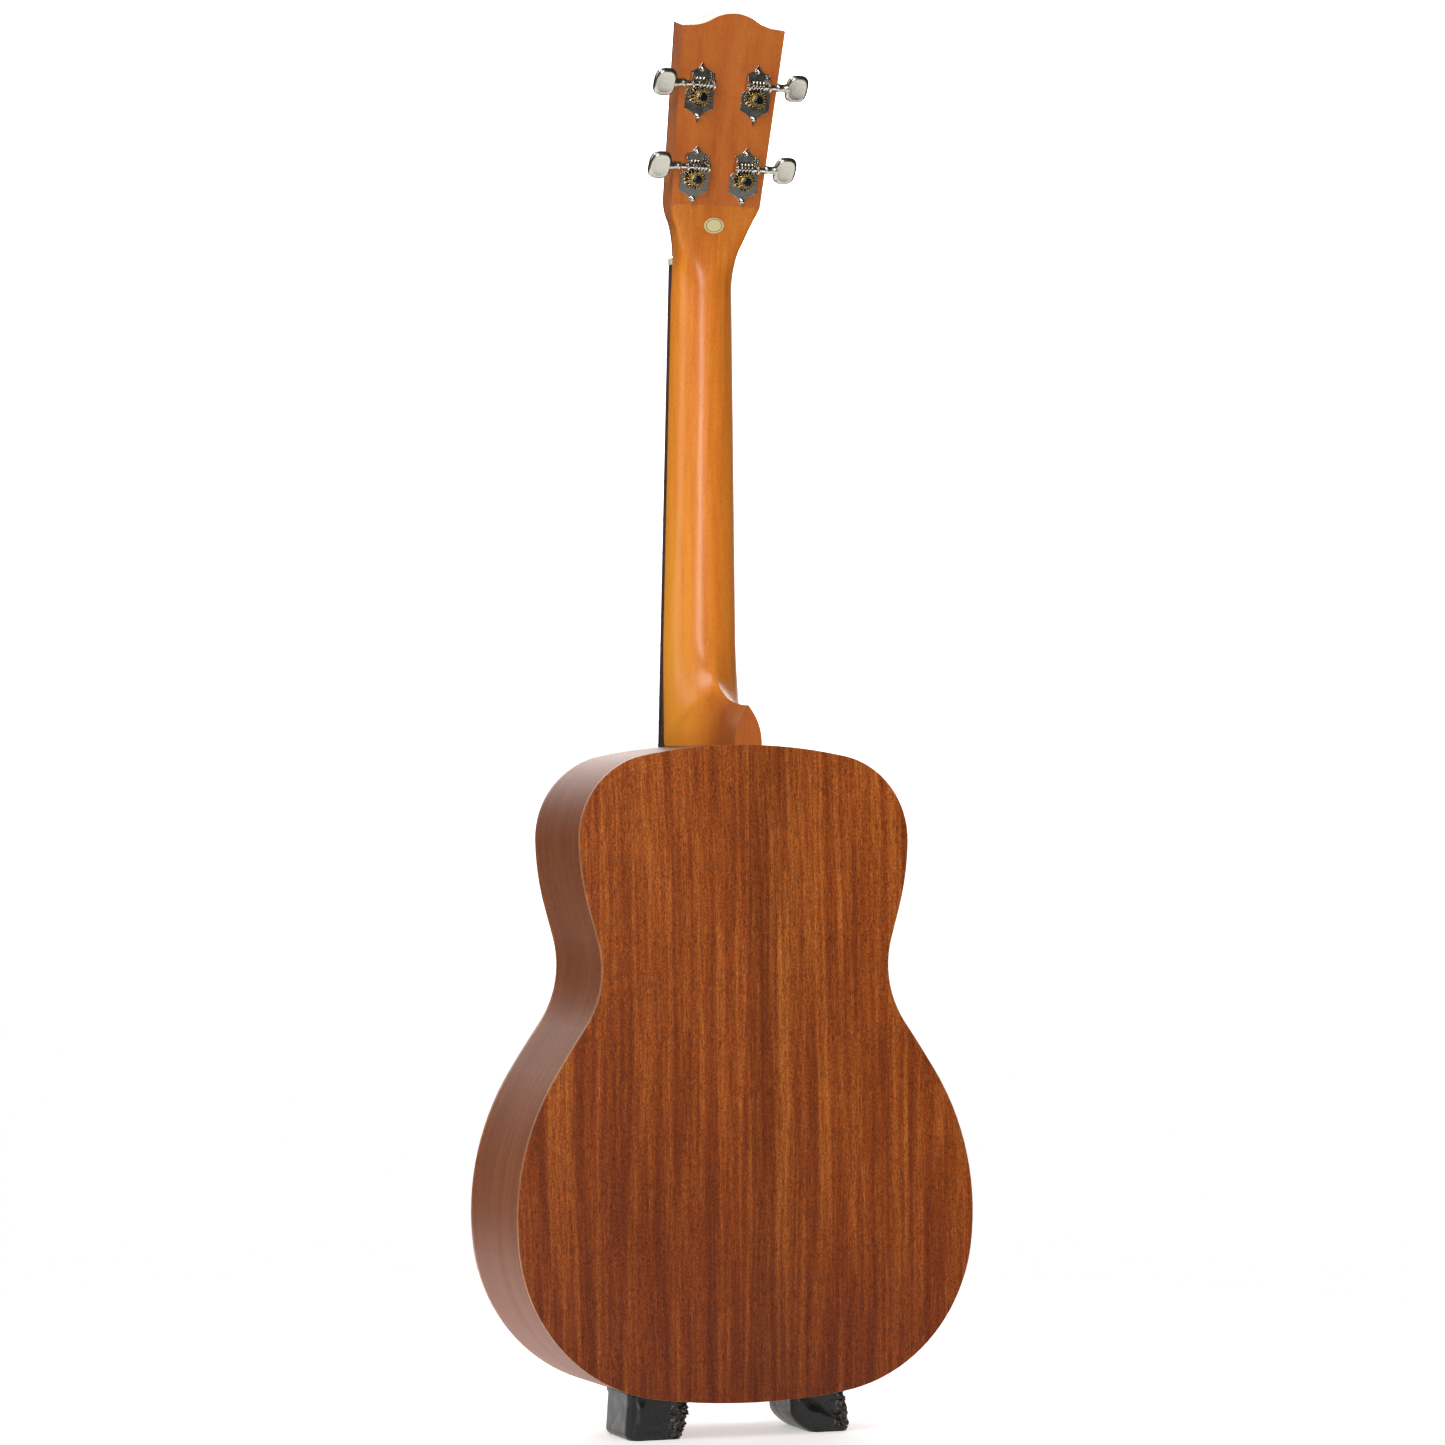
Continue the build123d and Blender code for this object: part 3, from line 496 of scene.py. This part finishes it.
def new_piece(name, points, faces, smooth_angle=35.0):
    """An object from points and faces, smooth but for its sharp edges."""
    mesh = bpy.data.meshes.new(name)
    mesh.from_pydata([tuple(p) for p in points], [], faces)
    mesh.validate()
    piece = bpy.data.objects.new(name, mesh)
    bpy.context.scene.collection.objects.link(piece)
    work = bmesh.new()
    work.from_mesh(mesh)
    bmesh.ops.recalc_face_normals(work, faces=work.faces)
    work.to_mesh(mesh)
    work.free()
    smooth_by_angle(piece, smooth_angle)
    return piece


def smooth_by_angle(piece, angle):
    mesh = piece.data
    mesh.polygons.foreach_set("use_smooth", [True] * len(mesh.polygons))
    mesh.set_sharp_from_angle(angle=math.radians(angle))


def cad_mesh(node):
    """A welded bmesh copy of a node, with the triangles of its flat faces merged."""
    work = bmesh.new()
    work.from_mesh(NODES[node].data)
    bmesh.ops.remove_doubles(work, verts=work.verts, dist=2e-6)
    flat = math.radians(0.4)
    bmesh.ops.dissolve_limit(work, angle_limit=flat, verts=work.verts, edges=work.edges)
    return work


def eased(node, width, segments=2, keep=None):
    """A copy of a CAD node with its sharp edges rounded, except those that keep() names."""
    work = cad_mesh(node)
    least = math.radians(32)
    sharp = [e for e in work.edges if len(e.link_faces) == 2 and e.calc_face_angle(0) > least]
    if keep is not None:
        sharp = [e for e in sharp if not keep((e.verts[0].co + e.verts[1].co) / 2)]
    bmesh.ops.bevel(work, geom=sharp, offset=width, segments=segments, profile=0.5,
                    affect="EDGES", clamp_overlap=True)
    mesh = bpy.data.meshes.new(node)
    work.to_mesh(mesh)
    work.free()
    piece = bpy.data.objects.new(f"{node}_shape", mesh)
    bpy.context.scene.collection.objects.link(piece)
    smooth_by_angle(piece, 50.0)
    weigh = piece.modifiers.new("Weigh", "WEIGHTED_NORMAL")
    weigh.keep_sharp = True
    return adopt(piece, node)


def grid_faces(rows, columns, closed=False):
    """Quads between rows of points; closed joins the last column to the first."""
    faces = []
    for r in range(rows - 1):
        for c in range(columns if closed else columns - 1):
            n = (c + 1) % columns
            here, there = r * columns, (r + 1) * columns
            faces.append((here + c, here + n, there + n, there + c))
    return faces


def smooth_step(t):
    t = min(1.0, max(0.0, t))
    return t * t * (3 - 2 * t)


def bezier(points, t):
    """A point of the cubic through four control points."""
    a, b, c, d = (Vector(p) for p in points)
    s = 1 - t
    return a * s ** 3 + b * 3 * s * s * t + c * 3 * s * t * t + d * t ** 3


# ---------------------------------------------------------------- neck, heel and the lower headstock
def neck_front(z):
    """The plane under the fingerboard, as a distance from the soundboard's plane."""
    return -max(0.0, z - BODY_LENGTH) * NECK_SLOPE


def neck_half(z):
    return HALF_AT_BODY + (HALF_AT_NUT - HALF_AT_BODY) * (z - BODY_LENGTH) / (NUT_UP - BODY_LENGTH)


def neck_row(front, back, half, square, point, columns=41):
    """One section from edge to edge round the back: square makes it a box, point a pointed arch."""
    row = []
    for c in range(columns):
        angle = (c / (columns - 1) - 0.5) * math.pi
        side = math.copysign(abs(math.sin(angle)) ** (2 / square), angle)
        deep = max(0.0, math.cos(angle)) ** (2 / square)
        arch = math.copysign(1 - deep ** 2.27, angle)
        x = half * ((1 - point) * side + point * arch)
        row.append(front + (back - front) * deep + ACROSS * x)
    return row


def heel_rows():
    """Sections that swing round from the body's back to the neck, down a pointed heel."""
    cap = -DEPTH_NECK + 0.15 * MM
    sink = 1.2 * MM
    ridge = [(0, -17.6 * MM, BODY_LENGTH + HEEL_REACH), (0, -17.2 * MM, BODY_LENGTH + 30 * MM),
             (0, -33 * MM, BODY_LENGTH + 21.6 * MM), (0, cap, BODY_LENGTH + 20.5 * MM)]
    rows = []
    steps = 44
    for n in range(steps):
        e = n / steps
        run = e * (HEEL_REACH - cap)
        y = min(0.0, cap + run)
        z = BODY_LENGTH - sink + max(0.0, run + cap)
        tip = bezier(ridge, 1 - e)
        if y < 0:
            half = 7.9 * MM + 13.8 * MM * (1 - smooth_step(-y / (50 * MM)))
        else:
            half = neck_half(z)
        point = smooth_step((1 - e) / 0.55)
        shift = SEAM_X * smooth_step((1 - e) / 0.6)
        front = on_guitar(shift, y + neck_front(z), z)
        rows.append(neck_row(front, on_guitar(shift, tip.y, tip.z), half, 2.0, point))
    return rows


def shaft_rows():
    """The round neck, then the turn into the flat, flared foot of the headstock."""
    rows = []
    start, end = BODY_LENGTH + HEEL_REACH, NUT_UP - 16 * MM
    sections = 22
    for n in range(sections):
        z = start + (end - start) * n / (sections - 1)
        share = (z - BODY_LENGTH) / (NUT_UP - BODY_LENGTH)
        depth = NECK_DEEP_AT_BODY - (NECK_DEEP_AT_BODY - NECK_DEEP_AT_NUT) * share
        y = neck_front(z)
        rows.append(neck_row(on_guitar(0, y, z), on_guitar(0, y - depth, z), neck_half(z), 2.0, 0.0))
    last_front = on_guitar(0, neck_front(end), end)
    last_back = on_guitar(0, neck_front(end) - 15.1 * MM, end)
    head_front = on_head(0, 0.0, -HEAD_THICK + VENEER)
    front_done = 0.66         # share of the turn after which the front lies on the headstock
    steps = 30
    # distance up the headstock and half width, in mm
    flare = [(-16, 17.5), (0, 17.3), (4, 17.35), (8, 17.9), (12, 19.2), (16, 20.5), (20, 21.8),
             (24, 23.4), (28, 24.9), (34, 26.2)]
    flare_up, flare_half = zip(*flare)
    for n in range(1, steps + 1):
        t = n / steps
        if t < front_done:
            front = last_front.lerp(head_front, t * 1.5)
        else:
            front = on_head(0, 2 * MM * (t - front_done) / (1 - front_done), -HEAD_THICK + VENEER)
        back_line = bezier([last_back, last_back + UP * 12 * MM, on_head(0, 4 * MM, 0),
                            on_head(0, SCARF_UP, 0)], t)
        square = 2.0 * 7.0 ** (smooth_step(t) ** 2)
        row = neck_row(front, back_line, 1.0, square, 0.0)
        shaped = []
        for point in row:
            along = (point - HEAD_FOOT).dot(HEAD_UP) / MM
            wide = np.interp(along, flare_up, flare_half) * MM
            shaped.append(Vector((point.x * wide, point.y, point.z)))
        rows.append(shaped)
    return rows


def neck():
    """Neck, heel and lower headstock as one closed skin."""
    rows = heel_rows() + shaft_rows()
    columns = len(rows[0])
    points = [p for row in rows for p in row]
    faces = grid_faces(len(rows), columns, closed=True)
    cap_rim = list(range(columns))
    top_rim = list(range((len(rows) - 1) * columns, len(rows) * columns))
    faces += [tuple(cap_rim), tuple(reversed(top_rim))]
    adopt(new_piece("neck_shape", points, faces, 38.0), "neck")


# ---------------------------------------------------------------- machine heads
BUTTON_TURN = -16.0           # degrees the buttons are turned on their shafts at rest
BUTTON_HALF = 6.6             # half a button's width along its shaft, in mm


def oval_rings(rings, count, place):
    """Points of stacked ovals: each ring is half width, half height, offset and squareness."""
    points = []
    for wide, tall, offset, square in rings:
        for n in range(count):
            a = 2 * math.pi * n / count
            x = wide * math.copysign(abs(math.cos(a)) ** (2 / square), math.cos(a))
            y = tall * math.copysign(abs(math.sin(a)) ** (2 / square), math.sin(a))
            points.append(place(x, y, offset))
    return points


def button(n):
    """An oval metal finger button: slightly dished faces, a wide bevel, and a collar on its shaft."""
    low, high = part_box(f"tuning_button_{n}")
    shaft = Vector(JOINTS[f"key_turn_{n}"]["pos_m"])
    side = math.copysign(1, shaft.x)
    outer = max(low[0] * side, high[0] * side) * side
    centre = Vector((outer - side * BUTTON_HALF * MM, shaft.y, shaft.z))

    lean = math.radians(BUTTON_TURN)
    tall = HEAD_UP * math.cos(lean) - HEAD_OUT * math.sin(lean)
    thick = HEAD_OUT * math.cos(lean) + HEAD_UP * math.sin(lean)

    def place(x, y, offset):
        return centre + ACROSS * x + tall * y + thick * offset

    # half width, half height, offset and squareness from a face's middle to the rim, in mm
    half = [(0.3, 0.4, 1.70, 2.0), (2.6, 3.4, 1.72, 2.3), (4.3, 5.6, 1.8, 2.6), (5.0, 6.4, 1.88, 2.8),
            (5.3, 6.75, 1.84, 2.8), (6.2, 7.65, 1.0, 2.9), (6.5, 8.0, 0.55, 2.9),
            (BUTTON_HALF, 8.1, 0.0, 2.9)]
    rings = half + [(w, h, -o, s) for w, h, o, s in reversed(half[:-1])]
    rings = [(w * MM, h * MM, o * MM, s) for w, h, o, s in rings]
    count = 56
    points = oval_rings(rings, count, place)
    faces = grid_faces(len(rings), count, closed=True)
    last_ring = range((len(rings) - 1) * count, len(rings) * count)
    faces += [tuple(range(count)), tuple(reversed(last_ring))]

    # distance along the shaft and radius, in mm
    collar = [(5.0, 2.9), (7.0, 2.6), (7.6, 2.35), (9.6, 2.2),
              (10.2, 2.45), (11.4, 2.45), (11.9, 2.1), (12.4, 1.52)]
    base = len(points)
    turns = 28
    for away, radius in collar:
        for k in range(turns):
            a = 2 * math.pi * k / turns
            tall_by, thick_by = radius * MM * math.cos(a), radius * MM * math.sin(a) * 0.8
            points.append(place(-side * away * MM, tall_by, thick_by))
    for face in grid_faces(len(collar), turns, closed=True):
        faces.append(tuple(base + i for i in face))
    faces.append(tuple(base + k for k in range(turns)))
    faces.append(tuple(base + (len(collar) - 1) * turns + k for k in reversed(range(turns))))
    adopt(new_piece(f"tuning_button_{n}_shape", points, faces, 42.0), f"tuning_button_{n}")


def machine_heads():
    for n in TUNER_UP:
        button(n)
        eased(f"tuner_plate_{n}", 0.22 * MM)
        eased(f"drive_gear_{n}", 0.12 * MM, 1)
        eased(f"gear_screw_{n}", 0.10 * MM, 1)


# ---------------------------------------------------------------- the stand's wrapped blocks
def ridged(point, scale):
    """Sharp crests where a smooth noise crosses zero."""
    return (1 - min(1.0, abs(noise.noise(point * scale)) * 2.4)) ** 3


def wrap_shift(spot, low, size, folds):
    """How far the wrap stands out at a spot: soft waves, long folds and a crumpled torn side."""
    u = (spot.x - low.x) / size.x
    w = (spot.z - low.z) / size.z
    shift = 0.25 * noise.noise(spot * 80.0) - 0.2 * ridged(spot + Vector((0.3, 0, 0)), 45.0)
    for (u0, w0), (u1, w1), wide, tall in folds:
        along = Vector((u1 - u0, w1 - w0))
        step = Vector((u - u0, w - w0))
        t = min(1.0, max(0.0, step.dot(along) / along.length_squared))
        far = (step - along * t).length
        shift += tall * math.exp(-(far / wide) ** 2)
    torn = smooth_step((u - 0.66) / 0.20)
    crumple = 1.3 * noise.noise(spot * 420.0) + 1.5 * ridged(spot, 300.0) - 0.7 * ridged(spot, 640.0)
    return shift + torn * crumple


def voxel_copy(node, cell):
    """A copy of a CAD node with an even mesh of small cells."""
    source = bpy.data.objects.new(f"{node}_shape", NODES[node].data.copy())
    bpy.context.scene.collection.objects.link(source)
    voxels = source.modifiers.new("Voxels", "REMESH")
    voxels.mode = "VOXEL"
    voxels.voxel_size = cell
    graph = bpy.context.evaluated_depsgraph_get()
    mesh = bpy.data.meshes.new_from_object(source.evaluated_get(graph))
    source.modifiers.clear()
    source.data = mesh
    return source


def wrapped_block(side, folds, foot_inset, foot_rise, top_inset, bulge):
    """Vinyl wrapped round a padded block, and the core inside it, with one bent outline."""
    low, high = (Vector(corner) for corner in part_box(f"block_wrap_{side}"))
    size = high - low
    centre = (low + high) / 2
    seat = high.z - 5 * MM
    for node, cell in ((f"block_wrap_{side}", 0.6 * MM), (f"block_core_{side}", 1.4 * MM)):
        source = voxel_copy(node, cell)
        wrap = node.startswith("block_wrap")
        for vertex in source.data.vertices:
            spot = vertex.co.copy()
            rise = (spot.z - low.z) / size.z
            flat = Vector((spot.x - centre.x, spot.y - centre.y, 0))
            reach = max(flat.length, 1e-6)
            free_below = smooth_step((spot.z - low.z) / (2.5 * MM))
            free_above = smooth_step((seat - spot.z) / (6 * MM) + 0.35)
            if wrap:
                shift = wrap_shift(spot, low, size, folds) * MM * (free_below * free_above)
                shift = max(-0.9 * MM, min(1.7 * MM, shift - 0.3 * MM))
                spot += flat / reach * shift
            u = (spot.x - low.x) / size.x
            rounding = (1 - min(1.0, (spot.z - low.z) / foot_rise)) ** 2
            spot.x += (foot_inset * rounding + top_inset * rise) * (1 - smooth_step(u / 0.75))
            spot.x += bulge(rise) * smooth_step((u - 0.45) / 0.5)
            spot.z = max(low.z, spot.z)
            vertex.co = spot
        smooth_by_angle(source, 60.0)
        adopt(source, node)


def shard(name, side, anchor, size, turn, curl, seed):
    """A small curled tatter of vinyl at the wrap's torn side."""
    draw = random.Random(seed)
    rows, columns = 7, 6
    points = []
    lean = Matrix.Rotation(turn, 3, "Y")
    edge = [draw.uniform(0.75, 1.15) for _ in range(columns)]
    for r in range(rows):
        t = r / (rows - 1)
        for c in range(columns):
            s = c / (columns - 1) - 0.5
            long = t * size * edge[c]
            spot = Vector((long * math.cos(curl * t * t), -long * math.sin(curl * t * t),
                           s * size * (0.9 - 0.45 * t)))
            spot += noise.noise_vector(spot * 700.0 + Vector((seed, 0, 0))) * 0.35 * MM * t
            points.append(anchor + lean @ spot)
    piece = new_piece(name, points, grid_faces(rows, columns), 60.0)
    thick = piece.modifiers.new("Thick", "SOLIDIFY")
    thick.thickness = 0.3 * MM
    thick.offset = 0.0
    piece.modifiers.new("Smooth", "SUBSURF").levels = 1
    piece.data.materials.append(material_of(f"block_wrap_{side}"))
    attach(piece, "stand")


def stand_blocks():
    """Both feet: the left one torn and bulging at its right, the right one creased across."""
    def left_bulge(rise):
        belly = 2.2 * MM * math.exp(-((rise - 0.60) / 0.16) ** 2)
        return belly - 1.5 * MM * (1 - smooth_step(rise / 0.35))

    def right_bulge(rise):
        return -2.2 * MM * smooth_step(rise)

    left_folds = [((0.22, 0.35), (0.20, 0.95), 0.08, 0.8)]
    right_folds = [((0.05, 0.75), (0.35, 0.42), 0.12, 0.6), ((0.35, 0.42), (0.80, 0.22), 0.12, 0.6),
                   ((0.85, 0.95), (0.93, 0.15), 0.035, 1.2)]
    wrapped_block("left", left_folds, 2.5 * MM, 3.5 * MM, 1.6 * MM, left_bulge)
    wrapped_block("right", right_folds, 11.0 * MM, 12.0 * MM, 0.0, right_bulge)
    for side, count, width, bulge in (("left", 9, 3.6, left_bulge), ("right", 4, 2.4, right_bulge)):
        low, high = (Vector(corner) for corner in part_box(f"block_wrap_{side}"))
        draw = random.Random(len(side))
        for n in range(count):
            rise = draw.uniform(0.25, 0.85)
            anchor = Vector((high.x + bulge(rise) - draw.uniform(1.5, 4.0) * MM,
                             low.y + draw.uniform(0.5, 5.0) * MM, low.z + rise * (high.z - low.z)))
            shard(f"wrap_tatter_{side}_{n + 1}", side, anchor, draw.uniform(0.6, 1.0) * width * MM,
                  draw.uniform(-1.2, 1.2), draw.uniform(0.5, 1.6), n + 1)


# ---------------------------------------------------------------- the rest of the pieces
def wooden_parts():
    """Bodywork that keeps its CAD shape, with its edges eased."""
    def on_scarf(spot):
        up = (spot - HEAD_FOOT).dot(HEAD_UP)
        out = (spot - HEAD_FOOT).dot(HEAD_OUT)
        joint = SCARF_UP + out * SCARF_RUN / HEAD_THICK
        return abs(up - joint) < 0.6 * MM or out < -HEAD_THICK + VENEER + 0.3 * MM

    eased("headstock", 0.8 * MM, 3, on_scarf)
    eased("back_plate", 0.45 * MM, 2)
    eased("bridge", 0.9 * MM, 3)
    eased("fingerboard", 0.4 * MM, 2)
    eased("nut", 0.35 * MM, 2)
    eased("saddle", 0.5 * MM, 2)


def paint_rest():
    """Every node that keeps its own mesh gets its material."""
    for name, node in NODES.items():
        if not node.hide_render:
            node.data.materials.clear()
            node.data.materials.append(material_of(name))


# ---------------------------------------------------------------- camera, floor and light
VIEW_TURN = math.radians(21.681)       # the camera looks this far off +Y, level
VIEW_ROLL = math.radians(0.367)
CAMERA_FROM_TAIL = Vector((-1.01006, -2.49216, 0.36582))
LENS = 124.57
FLOOR_REACH = 0.75             # the round floor's radius
VIEW = Vector((math.sin(VIEW_TURN), math.cos(VIEW_TURN), 0))
VIEW_RIGHT = Vector((math.cos(VIEW_TURN), -math.sin(VIEW_TURN), 0))
BRIGHT_SIDE = (VIEW * 0.82 + Vector((0, 0, 0.57))).normalized()      # behind the guitar, and above it


def camera():
    low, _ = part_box("back_plate")
    foot = Vector((0, low[1], low[2]))
    right = VIEW_RIGHT * math.cos(VIEW_ROLL) + Vector((0, 0, math.sin(VIEW_ROLL)))
    upward = Vector((0, 0, math.cos(VIEW_ROLL))) - VIEW_RIGHT * math.sin(VIEW_ROLL)
    lens = bpy.data.cameras.new("camera")
    lens.lens = LENS
    lens.sensor_width = 36.0
    lens.clip_start = 0.05
    eye = bpy.data.objects.new("camera", lens)
    bpy.context.scene.collection.objects.link(eye)
    turn = Matrix((right, upward, -VIEW)).transposed().to_4x4()
    eye.matrix_world = Matrix.Translation(foot + CAMERA_FROM_TAIL) @ turn
    bpy.context.scene.camera = eye


def softbox(name, aim, away, size, power):
    """A rectangular light that faces its aim from an offset."""
    light = bpy.data.lights.new(name, "AREA")
    light.shape = "RECTANGLE"
    light.size, light.size_y = size
    light.energy = power
    lamp = bpy.data.objects.new(name, light)
    bpy.context.scene.collection.objects.link(lamp)
    lamp.location = aim + away
    lamp.rotation_euler = (-away).to_track_quat("-Z", "Y").to_euler()


def studio():
    """A white world that lights mostly from behind and above, five soft boxes, and a round pale floor."""
    scene = bpy.context.scene
    scene.view_settings.view_transform = "Standard"
    world = bpy.data.worlds.new("studio")
    scene.world = world
    world.use_nodes = True
    tree = world.node_tree
    ground = tree.nodes["Background"]
    facing = tree.nodes.new("ShaderNodeVectorMath")
    facing.operation = "DOT_PRODUCT"
    facing.inputs[1].default_value = BRIGHT_SIDE
    coordinate = tree.nodes.new("ShaderNodeTexCoord")
    tree.links.new(coordinate.outputs["Generated"], facing.inputs[0])
    shade_by_side = tree.nodes.new("ShaderNodeMapRange")
    for key, value in (("From Min", 0.72), ("From Max", 0.96), ("To Min", 0.04), ("To Max", 4.0)):
        shade_by_side.inputs[key].default_value = value
    tree.links.new(facing.outputs["Value"], shade_by_side.inputs["Value"])
    seen = tree.nodes.new("ShaderNodeLightPath")
    level = tree.nodes.new("ShaderNodeMath")
    level.operation = "MAXIMUM"
    tree.links.new(shade_by_side.outputs[0], level.inputs[0])
    tree.links.new(seen.outputs["Is Camera Ray"], level.inputs[1])
    tree.links.new(level.outputs[0], ground.inputs["Strength"])
    ground.inputs["Color"].default_value = (1, 1, 1, 1)

    middle = Vector((0, 0, (CAD_BOX[0][2] + CAD_BOX[1][2]) / 2))
    left = -VIEW_RIGHT
    softbox("strip", middle, -VIEW * 1.6 + VIEW_RIGHT * 0.42 + Vector((0, 0, 0.10)), (0.26, 0.9), 9.5)
    softbox("key", middle, -VIEW * 2.0 + left * 0.8 + Vector((0, 0, 1.5)), (1.2, 1.2), 33.0)
    softbox("fill", middle, -VIEW * 1.6 + left * 2.0 + Vector((0, 0, 0.4)), (1.0, 1.4), 10.0)
    glance = VIEW - HEAD_OUT * 2 * VIEW.dot(HEAD_OUT)
    softbox("glint", on_head(0, 70 * MM, 0), glance * 2.0, (0.7, 0.35), 0.3)
    softbox("top", middle, VIEW * 0.9 + left * 0.3 + Vector((0, 0, 1.8)), (1.4, 1.4), 8.0)

    corners = 96
    turns = [2 * math.pi * n / corners for n in range(corners)]
    rim = [(FLOOR_REACH * math.cos(a), FLOOR_REACH * math.sin(a), 0) for a in turns]
    floor = new_piece("floor", rim, [tuple(range(corners))])
    g = Graph("pale_floor", Roughness=0.9, Specular_IOR_Level=0.1, Emission_Strength=0.42)
    g.shader.inputs["Emission Color"].default_value = (1, 1, 1, 1)
    soft = g.noise(g.place, 3.0)
    floor.data.materials.append(g.finish(g.mix(soft, (0.93, 0.93, 0.93), (0.96, 0.96, 0.96))))


neck()
machine_heads()
stand_blocks()
wooden_parts()
paint_rest()
camera()
studio()
